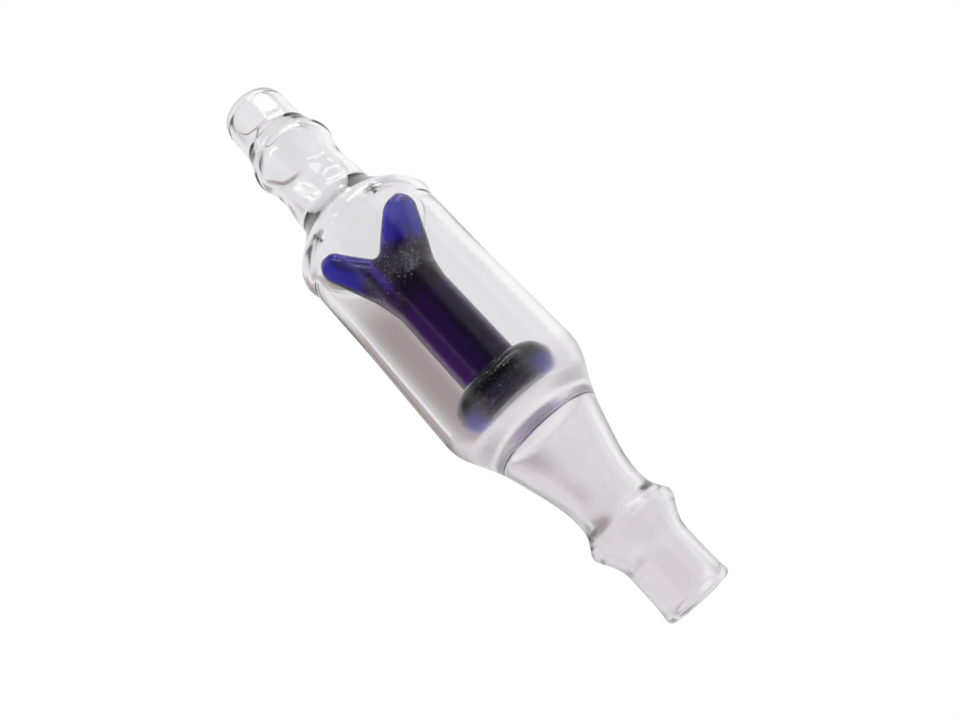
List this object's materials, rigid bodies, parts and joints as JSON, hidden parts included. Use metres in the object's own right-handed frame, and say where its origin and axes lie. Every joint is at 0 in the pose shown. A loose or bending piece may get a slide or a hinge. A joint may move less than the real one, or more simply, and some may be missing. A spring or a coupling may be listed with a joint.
{
  "type": "glass non-return valve",
  "caption": "Inline glass non-return valve: olive hose connector at each end of a domed chamber, with a loose cobalt-blue forked poppet over a ground seat.",
  "frame": {"origin": "middle of the inlet's end, on the valve's axis", "axes": "+Z along the axis from the inlet to the outlet, the direction of free flow; the poppet's two prongs lie along X"},
  "size_m": [0.0188, 0.0187, 0.0776],
  "materials": {
    "clear_glass": "clear flame-worked borosilicate glass",
    "ground_glass": "ground and frosted borosilicate glass",
    "cobalt_glass": "deep cobalt-blue flame-worked glass"
  },
  "bodies": {
    "housing": {"inlet_hose_connector": "clear_glass", "inlet_cone": "clear_glass", "seat_ring": "ground_glass", "chamber_tube": "clear_glass", "shoulder_dome": "clear_glass", "outlet_hose_connector": "clear_glass"},
    "poppet": {"poppet_disc": "cobalt_glass", "poppet_stem": "cobalt_glass", "left_prong": "cobalt_glass", "right_prong": "cobalt_glass"}
  },
  "joints": [
    {"name": "poppet_lift", "type": "slide", "parent": "housing", "child": "poppet", "axis": [0, 0, 1], "range_m": [-0.00265, 0.00095]}
  ]
}
